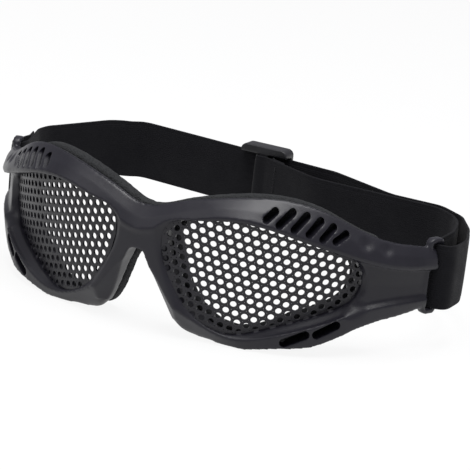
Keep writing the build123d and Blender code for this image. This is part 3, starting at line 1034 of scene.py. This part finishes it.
@dataclass(frozen=True)
class MeshLens:
    """One perforated lens: a flat holed sheet cut to the rim and bent round its axis.

    Its rows of holes stand at an angle, the turn, and end a margin outside the rim. The sheet
    goes on into the frame's groove as far as the seat.
    """

    side: int
    start: tuple[float, float]
    radius: float = 102.9 * MM
    axis_place: tuple[float, float, float] = (-3.35 * MM, 42.2 * MM, 27.0 * MM)
    tilt: float = 6.63
    thickness: float = 0.8 * MM
    pitch: float = 3.5 * MM
    hole_radius: float = 1.16 * MM
    turn: float = -8.1
    seat: float = 1.6 * MM
    rim_margin: float = 0.9 * MM
    rim_out: float = 0.3 * MM
    weld_share: float = 0.002
    corners: int = 24
    sharp: float = 40.0

    def rim(self) -> list[Vector]:
        """Works out the opening's rim on the flat sheet.

        Returns:
            Places along the bend and up the axis, in metres.
        """
        return [self.flattened(angle, share) for angle, share in LENS_OUTLINE]

    def flattened(self, angle: float, share: float) -> Vector:
        """Finds a rim point's place on the flat sheet.

        Args:
            angle: Degrees round the face from its middle.
            share: Height as a share of the frame's height.

        Returns:
            The place along the bend and up the axis.
        """
        spot = face_place(angle, self.rim_out, share * FRAME_HEIGHT) - Vector(self.axis_place)
        side, axis = self.directions()
        bend = math.atan2(spot.dot(side), -spot.y)
        return Vector((bend * self.radius, spot.dot(axis), 0))

    def directions(self) -> tuple[Vector, Vector]:
        """Works out how the lens stands.

        Returns:
            The sideways direction and the direction of the axis.
        """
        tilt = math.radians(self.tilt)
        side = Vector((math.cos(tilt), 0, -math.sin(tilt)))
        return side, Vector((math.sin(tilt), 0, math.cos(tilt)))

    def bent(self, flat: Vector) -> Vector:
        """Bends a point of the flat sheet round the lens's axis.

        Args:
            flat: The place along the bend, up the axis and out of the sheet.

        Returns:
            The place in the row's frame.
        """
        side, axis = self.directions()
        turn = flat.x / self.radius
        out = side * math.sin(turn) + Vector((0, -math.cos(turn), 0))
        spot = Vector(self.axis_place) + axis * flat.y + out * (self.radius + flat.z)
        return Vector((spot.x * self.side, spot.y, spot.z))

    def cell(self, holed: bool) -> bpy.types.Mesh:
        """Makes one six-sided cell of the sheet.

        Args:
            holed: Whether it has its round hole.

        Returns:
            The cell, round its middle.
        """
        work = bmesh.new()
        ring = bmesh.ops.create_circle(work, segments=self.corners, radius=1.0,
                                       cap_ends=not holed)["verts"]
        for vertex in ring:
            around = math.atan2(vertex.co.y, vertex.co.x) - math.radians(self.turn)
            off = (around + math.pi / 6) % (math.pi / 3) - math.pi / 6
            vertex.co *= self.pitch / 2 / math.cos(off)
        if holed:
            bmesh.ops.create_circle(work, segments=self.corners, radius=self.hole_radius)
            bmesh.ops.bridge_loops(work, edges=work.edges[:])
        return mesh_of(work)

    def sheet(self) -> bmesh.types.BMesh:
        """Makes the flat sheet with its rows of holes, cut to the rim.

        Returns:
            The sheet, one layer thick.
        """
        rim = self.rim()
        work = bmesh.new()
        first = math.radians(self.turn)
        second = first + math.pi / 3
        count = int(2 * FRAME_HEIGHT / self.pitch)
        cells = {holed: self.cell(holed) for holed in (True, False)}
        for i in range(-count, count + 1):
            for j in range(-count, count + 1):
                place = Vector((
                    self.start[0] + self.pitch * (i * math.cos(first) + j * math.cos(second)),
                    self.start[1] + self.pitch * (i * math.sin(first) + j * math.sin(second)),
                    0))
                gap = rim_distance(rim, place)
                if gap < self.seat + self.pitch:
                    stamped = cells[gap < self.rim_margin].copy()
                    stamped.transform(Matrix.Translation(place))
                    work.from_mesh(stamped)
                    bpy.data.meshes.remove(stamped)
        bmesh.ops.remove_doubles(work, verts=work.verts, dist=self.pitch * self.weld_share)
        self.trim(work, rim)
        return work

    def trim(self, work: bmesh.types.BMesh, rim: list[Vector]) -> None:
        """Cuts the sheet a seat's width outside the rim.

        Args:
            work: The sheet.
            rim: The rim's places, in order.
        """
        centre = sum(rim, Vector()) / len(rim)
        for start, end in zip(rim, rim[1:] + rim[:1]):
            out = Vector((end.y - start.y, start.x - end.x, 0)).normalized()
            if out.dot(start - centre) < 0:
                out = -out
            if max((place - start).dot(out) for place in rim) > self.seat / 2:
                continue
            geometry = work.verts[:] + work.edges[:] + work.faces[:]
            bmesh.ops.bisect_plane(work, geom=geometry, plane_co=start + out * self.seat,
                                   plane_no=out, clear_outer=True)

    def mesh(self) -> bpy.types.Mesh:
        """Thickens the sheet and bends it.

        Returns:
            The lens's mesh.
        """
        work = self.sheet()
        lower = bmesh.ops.extrude_face_region(work, geom=work.faces[:], use_keep_orig=True)
        raised = [item for item in lower["geom"] if isinstance(item, bmesh.types.BMVert)]
        bmesh.ops.translate(work, verts=work.verts[:], vec=(0, 0, -self.thickness / 2))
        bmesh.ops.translate(work, verts=raised, vec=(0, 0, self.thickness))
        for vertex in work.verts:
            vertex.co = self.bent(vertex.co)
        return closed_mesh(work, self.sharp)


def rim_distance(rim: list[Vector], place: Vector) -> float:
    """Measures how far a place is outside a closed rim.

    Args:
        rim: The rim's places, in order.
        place: The place to measure.

    Returns:
        The distance in metres, less than zero inside.
    """
    nearest = math.inf
    inside = False
    for start, end in zip(rim, rim[1:] + rim[:1]):
        side = end - start
        share = max(0.0, min(1.0, (place - start).dot(side) / side.length_squared))
        nearest = min(nearest, (place - start - side * share).length)
        if (start.y > place.y) != (end.y > place.y):
            if place.x < start.x + (place.y - start.y) / (end.y - start.y) * side.x:
                inside = not inside
    return -nearest if inside else nearest


@dataclass(frozen=True)
class TapeStop:
    """A corner of a tape's route in millimetres: its place, its bend radius and its rise."""

    x: float
    y: float
    bend: float = 0.0
    rise: float = 0.0


@dataclass(frozen=True)
class Tape:
    """A length of elastic tape that stands on edge along a route.

    Its lower edge is at the height low where the route doesn't rise. A squareness of 1 would
    give its section the shape of an ellipse, and 0 that of a box.
    """

    stops: tuple[TapeStop, ...]
    width: float = 24.0 * MM
    thickness: float = 1.3 * MM
    low: float = 16.6 * MM
    step: float = 1.2 * MM
    squareness: float = 0.55
    selvedge: float = 1.3 * MM
    groove_width: float = 0.35 * MM
    groove_depth: float = 0.3
    straight: float = 0.01
    corners: int = 56
    sharp: float = 60.0

    def section(self, ring: Vector) -> Vector:
        """Gives the tape's rounded section with a woven edge band along each side.

        Args:
            ring: A point of a circle of radius 1.

        Returns:
            The section's point: across the thickness and up the width.
        """
        up = math.copysign(abs(ring.y) ** self.squareness, ring.y) * self.width / 2
        across = math.copysign(abs(ring.x) ** self.squareness, ring.x) * self.thickness / 2
        past = (self.width / 2 - abs(up) - self.selvedge) / self.groove_width
        return Vector((across * (1 - self.groove_depth * math.exp(-past * past)), up, 0))

    def line(self) -> list[tuple[Vector, float]]:
        """Works out the middle line with rounded bends.

        Returns:
            Places in plan and how far the tape rises there, in metres.
        """
        stops = [(Vector((s.x, s.y, 0)) * MM, s.bend * MM, s.rise * MM) for s in self.stops]
        points = [(stops[0][0], stops[0][2])]
        for (before, _, _), (corner, bend, rise), (after, _, _) in zip(
                stops, stops[1:], stops[2:]):
            into = (corner - before).normalized()
            out = (after - corner).normalized()
            angle = into.angle(out)
            if bend <= 0 or angle < self.straight:
                points.append((corner, rise))
                continue
            cut = bend * math.tan(angle / 2)
            steps = max(2, int(bend * angle / self.step) + 1)
            start = corner - into * cut
            end = corner + out * cut
            for k in range(steps + 1):
                share = k / steps
                near = start.lerp(corner, share)
                far = corner.lerp(end, share)
                points.append((near.lerp(far, share), rise))
        points.append((stops[-1][0], stops[-1][2]))
        return resampled(points, self.step)

    def mesh(self) -> bpy.types.Mesh:
        """Sweeps the tape's rounded section along its line.

        Returns:
            The tape's mesh.
        """
        work = bmesh.new()
        place_layer = work.verts.layers.float_vector.new("tape_place")
        loop = bmesh.ops.create_circle(work, segments=self.corners, radius=1.0,
                                       cap_ends=True)["verts"]
        for vertex in loop:
            vertex.co = self.section(vertex.co)
            vertex[place_layer] = (0, vertex.co.y, vertex.co.x)

        def mark(verts: list[bmesh.types.BMVert], run: float) -> None:
            """Notes how far along the tape a new ring is.

            Args:
                verts: The ring's vertices.
                run: The distance from the tape's start.
            """
            for vertex in verts:
                old = vertex[place_layer]
                vertex[place_layer] = (run, old.y, old.z)

        sweep(work, loop, tape_frames(self.line(), self.low + self.width / 2), mark)
        return closed_mesh(work, self.sharp)


def resampled(points: list[tuple[Vector, float]], step: float) -> list[tuple[Vector, float]]:
    """Spaces a line's points evenly and eases its rises.

    Args:
        points: The line's places and rises.
        step: The wanted distance between them.

    Returns:
        The evenly spaced places and rises.
    """
    lengths = [0.0]
    for (a, _), (b, _) in zip(points, points[1:]):
        lengths.append(lengths[-1] + (b - a).length)
    count = max(2, int(lengths[-1] / step))
    result = []
    at = 0
    for k in range(count + 1):
        want = lengths[-1] * k / count
        while at < len(lengths) - 2 and lengths[at + 1] < want:
            at += 1
        share = (want - lengths[at]) / max(SHORTEST, lengths[at + 1] - lengths[at])
        place = points[at][0].lerp(points[at + 1][0], share)
        result.append((place, points[at][1] * (1 - share) + points[at + 1][1] * share))
    return result


def tape_frames(line: list[tuple[Vector, float]], middle: float) -> list[Matrix]:
    """Works out how the tape's section stands at each point of its line.

    Args:
        line: Places in plan and rises.
        middle: The height of the tape's middle.

    Returns:
        A matrix for each point: X out of the tape, Y up and Z along it.
    """
    frames = []
    for k, (place, rise) in enumerate(line):
        before = line[max(0, k - 1)][0]
        after = line[min(len(line) - 1, k + 1)][0]
        along = (after - before).normalized()
        out = Vector((along.y, -along.x, 0))
        up = Vector((0, 0, 1))
        turn = Matrix((out, up, along)).transposed().to_4x4()
        frames.append(Matrix.Translation((place.x, place.y, middle + rise)) @ turn)
    return frames


@dataclass(frozen=True)
class StrapSlider:
    """The plastic slider."""

    voxel: float = 0.35 * MM
    smoothing: int = 4

    def mesh(self) -> bpy.types.Mesh:
        """Softens the slider's solid.

        Returns:
            The slider's mesh.
        """
        return softened(merged_mesh("slider"), self.voxel, self.smoothing)


@dataclass(frozen=True)
class BarTack:
    """A dense zigzag of thread that closes a sewn loop."""

    node: str
    mirrored: bool
    stitch: float = 1.1 * MM
    thread: float = 0.32 * MM
    spacing: float = 0.55 * MM
    lean: float = 0.35
    around: int = 8
    rings: int = 6

    def mesh(self) -> bpy.types.Mesh:
        """Lays slanted stitches over the node's box.

        Returns:
            The bar tack's mesh.
        """
        low, high = (Vector(corner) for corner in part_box(self.node))
        middle = (low + high) / 2
        across = Vector((high.x - low.x, high.y - low.y, 0))
        if self.mirrored:
            across.y = -across.y
        across.normalize()
        work = bmesh.new()
        count = int((high.z - low.z - self.stitch) / self.spacing)
        for k in range(count):
            lean = self.lean if k % 2 else -self.lean
            height = low.z + self.stitch / 2 + k * self.spacing
            ball = bmesh.ops.create_uvsphere(work, u_segments=self.around,
                                             v_segments=self.rings, radius=1.0)
            along = (across + Vector((0, 0, lean))).normalized()
            out = Vector((-across.y, across.x, 0))
            turn = Matrix((along, out, along.cross(out))).transposed().to_4x4()
            size = Matrix.Diagonal((self.stitch / 2, self.thread / 2, self.thread / 2, 1))
            place = Matrix.Translation((middle.x, middle.y, height))
            bmesh.ops.transform(work, matrix=place @ turn @ size, verts=ball["verts"])
        return closed_mesh(work)


MAIN_STRAP = Tape(
    (TapeStop(-95.68, 13.8), TapeStop(-93.18, 7.8, 2.4), TapeStop(-93.18, -5.48, 2.38),
     TapeStop(-88.38, -5.48, 2.38), TapeStop(-88.38, -0.68, 2.4), TapeStop(-96.68, 19.23, 12.0),
     TapeStop(-96.68, 27.05, 12.0), TapeStop(-81.21, 55.89, 14.4, 1.0),
     TapeStop(-69.61, 60.1, 12.0, 1.5), TapeStop(18.37, 60.1, 14.4, -0.8),
     TapeStop(48.34, 48.08, 24.0, -1.0), TapeStop(72.51, 43.75, 12.0),
     TapeStop(83.63, 36.06, 12.0), TapeStop(91.84, 22.24, 19.2), TapeStop(96.68, 8.41, 14.4),
     TapeStop(96.68, -5.48, 5.04), TapeStop(88.38, -5.48, 2.38), TapeStop(88.65, 14.42, 19.2),
     TapeStop(85.08, 28.25, 19.2), TapeStop(80.24, 35.16, 12.0), TapeStop(71.54, 41.47, 14.4),
     TapeStop(47.0, 41.47)))
SLACK_RUN = Tape(
    (TapeStop(47.0, 41.47), TapeStop(18.37, 41.47, 24.0), TapeStop(1.0, 49.72)))
SEWN_LOOP = Tape(
    (TapeStop(1.0, 49.72), TapeStop(-10.0, 54.95, 1.3), TapeStop(-14.9, 54.95, 1.25),
     TapeStop(-14.9, 58.55, 1.25), TapeStop(-9.1, 58.55, 1.3), TapeStop(-5.88, 54.29, 1.3),
     TapeStop(-0.01, 51.5)))
PIECES = (
    Piece("moulded_frame", MouldedFrame().mesh, Slot.RUBBER, Body.GOGGLES, ("frame",)),
    Piece("brow_parting_line", PartingLine().mesh, Slot.RUBBER, Body.GOGGLES),
    Piece("perforated_lens_left", MeshLens(1, (30.2 * MM, 13.5 * MM)).mesh, Slot.MESH,
          Body.GOGGLES, ("mesh_lens_left",)),
    Piece("perforated_lens_right", MeshLens(-1, (33.1 * MM, 18.8 * MM)).mesh, Slot.MESH,
          Body.GOGGLES, ("mesh_lens_right",)),
    Piece("foam_face_pad", FacePad().mesh, Slot.FOAM, Body.GOGGLES, ("face_pad",)),
    Piece("elastic_head_strap", MAIN_STRAP.mesh, Slot.ELASTIC, Body.GOGGLES,
          ("elastic_strap",)),
    Piece("elastic_slack_run", SLACK_RUN.mesh, Slot.ELASTIC, None, ("strap_adjusting_run",)),
    Piece("elastic_sewn_loop", SEWN_LOOP.mesh, Slot.ELASTIC, Body.SLIDER,
          ("strap_sewn_end",)),
    Piece("strap_slider_clip", StrapSlider().mesh, Slot.PLASTIC, Body.SLIDER, ("slider",)),
    Piece("temple_bar_tack", BarTack("bar_tack_temple", True).mesh, Slot.THREAD, Body.GOGGLES,
          ("bar_tack_temple",)),
    Piece("slider_bar_tack", BarTack("bar_tack_slider", False).mesh, Slot.THREAD, Body.SLIDER,
          ("bar_tack_slider",)))


@dataclass(frozen=True)
class Studio:
    """The camera at the photograph's angle, the pale floor and the plain soft light."""

    azimuth: float = 26.79
    elevation: float = 16.56
    roll: float = 6.08
    place: tuple[float, float, float] = (0.3267, -0.6325, 0.2340)
    focal_pixels: float = 1949.6
    frame_pixels: float = 470.0
    sensor: float = 36.0
    nearest: float = 0.01
    sky_colour: Colour = (0.93, 0.92, 1.0, 1)
    sky_strength: float = 0.42
    floor_size: float = 6.0
    floor_colour: Colour = (0.8, 0.8, 0.8, 1)
    floor_roughness: float = 0.9
    floor_specular: float = 0.1
    floor_white: float = 0.9
    aim: tuple[float, float, float] = (0, 0, 0.03)
    lamps: tuple[tuple[str, tuple[float, float, float], float, float], ...] = (
        ("top_softbox", (0.1, -0.1, 0.9), 0.65, 11.0),
        ("front_softbox", (-0.55, -0.6, 0.7), 0.5, 1.1))

    def camera(self) -> None:
        """Places the camera."""
        data = bpy.data.cameras.new("photo_camera")
        data.sensor_fit = "HORIZONTAL"
        data.sensor_width = self.sensor
        data.lens = self.sensor * self.focal_pixels / self.frame_pixels
        data.clip_start = self.nearest
        camera = placed("photo_camera", data)
        turn = (Matrix.Rotation(math.radians(self.azimuth), 4, "Z")
                @ Matrix.Rotation(math.radians(90 - self.elevation), 4, "X")
                @ Matrix.Rotation(math.radians(self.roll), 4, "Z"))
        camera.matrix_world = Matrix.Translation(self.place) @ turn
        bpy.context.scene.camera = camera

    def world(self) -> None:
        """Makes the pale surroundings."""
        world = bpy.data.worlds.new("studio")
        world.use_nodes = True
        bpy.context.scene.world = world
        sky = world.node_tree.nodes["Background"]
        sky.inputs["Color"].default_value = self.sky_colour
        sky.inputs["Strength"].default_value = self.sky_strength

    def floor(self) -> None:
        """Lays the pale floor, which looks white and still takes the goggles' shadow."""
        work = bmesh.new()
        bmesh.ops.create_grid(work, x_segments=1, y_segments=1, size=self.floor_size)
        floor = placed("floor", mesh_of(work))
        material, nodes, matt = new_material("pale_floor")
        nodes.feed(matt, Base_Color=self.floor_colour, Roughness=self.floor_roughness,
                   Specular_IOR_Level=self.floor_specular)
        white = nodes.add("Emission", Color=(1, 1, 1, 1), Strength=1.0)
        path = nodes.add("LightPath")
        seen = nodes.math("MAXIMUM", path.outputs["Is Camera Ray"], nodes.math(
            "MAXIMUM", path.outputs["Is Glossy Ray"], path.outputs["Is Transmission Ray"]))
        mix = nodes.tree.nodes.new("ShaderNodeMixShader")
        mixed = (nodes.math("MULTIPLY", seen, self.floor_white), matt.outputs[0],
                 white.outputs[0])
        for socket, source in zip(mix.inputs, mixed):
            nodes.fill(socket, source)
        nodes.fill(nodes.tree.nodes["Material Output"].inputs["Surface"], mix.outputs[0])
        floor.data.materials.append(material)

    def lamp(self, name: str, place: tuple[float, float, float], size: float,
             power: float) -> None:
        """Hangs a square soft lamp that faces the goggles.

        Args:
            name: The lamp's name.
            place: Where it hangs.
            size: Its side.
            power: Its power in watts.
        """
        data = bpy.data.lights.new(name, "AREA")
        data.size = size
        data.energy = power
        lamp = placed(name, data)
        aim = Vector(self.aim) - Vector(place)
        lamp.matrix_world = (Matrix.Translation(place)
                             @ aim.to_track_quat("-Z", "Y").to_matrix().to_4x4())

    def build(self) -> None:
        """Sets up the whole studio."""
        self.camera()
        self.world()
        self.floor()
        for row in self.lamps:
            self.lamp(*row)
        bpy.context.scene.view_settings.view_transform = "Standard"


def main() -> None:
    """Builds every piece in order and reports it."""
    logging.basicConfig(level=logging.INFO, format="%(name)s: %(message)s")
    Studio().build()
    materials = palette()
    for row in PIECES:
        piece = row.build(materials)
        LOG.info("%s has %d faces", piece.name, len(piece.data.polygons))


if __name__ == "__main__":
    main()
